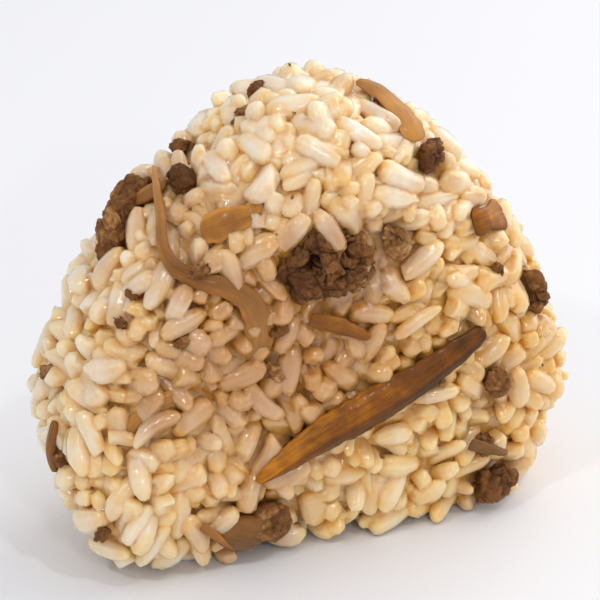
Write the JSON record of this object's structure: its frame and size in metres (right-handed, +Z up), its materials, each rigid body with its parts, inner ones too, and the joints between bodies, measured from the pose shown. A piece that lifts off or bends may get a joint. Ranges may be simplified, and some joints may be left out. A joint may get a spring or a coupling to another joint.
{
  "type": "seasoned chicken rice ball",
  "caption": "Hand-pressed triangular ball of seasoned rice with minced chicken and slivers of burdock root, standing on its flat base.",
  "frame": {"origin": "middle of the flat base, on the surface that the rice ball stands on", "axes": "+X along the broad face to its right as seen from the front, +Y from the front face to the back, +Z up; the front face looks towards -Y"},
  "size_m": [0.0794, 0.0394, 0.0654],
  "materials": {
    "rice": "moist cooked short-grain rice, translucent, satin",
    "chicken": "cooked minced chicken, crumbly, dull with moist spots",
    "burdock": "simmered burdock root, fibrous, moist and slightly translucent"
  },
  "bodies": {
    "root": {"rice": "rice", "chicken_center": "chicken", "chicken_center_right": "chicken", "chicken_upper_left": "chicken", "chicken_left": "chicken", "chicken_top_right": "chicken", "chicken_right_edge": "chicken", "chicken_right_small": "chicken", "chicken_right_foot": "chicken", "chicken_base": "chicken", "chicken_back_center": "chicken", "chicken_back_left": "chicken", "chicken_back_right": "chicken", "chicken_back_foot": "chicken", "chicken_back_top": "chicken", "burdock_long": "burdock", "burdock_curl": "burdock", "burdock_top_right": "burdock", "burdock_under_center": "burdock", "burdock_slice": "burdock", "burdock_right": "burdock", "burdock_base": "burdock", "burdock_left": "burdock", "burdock_back_long": "burdock", "burdock_back_curl": "burdock", "burdock_back_right": "burdock", "burdock_back_foot": "burdock"}
  },
  "joints": []
}
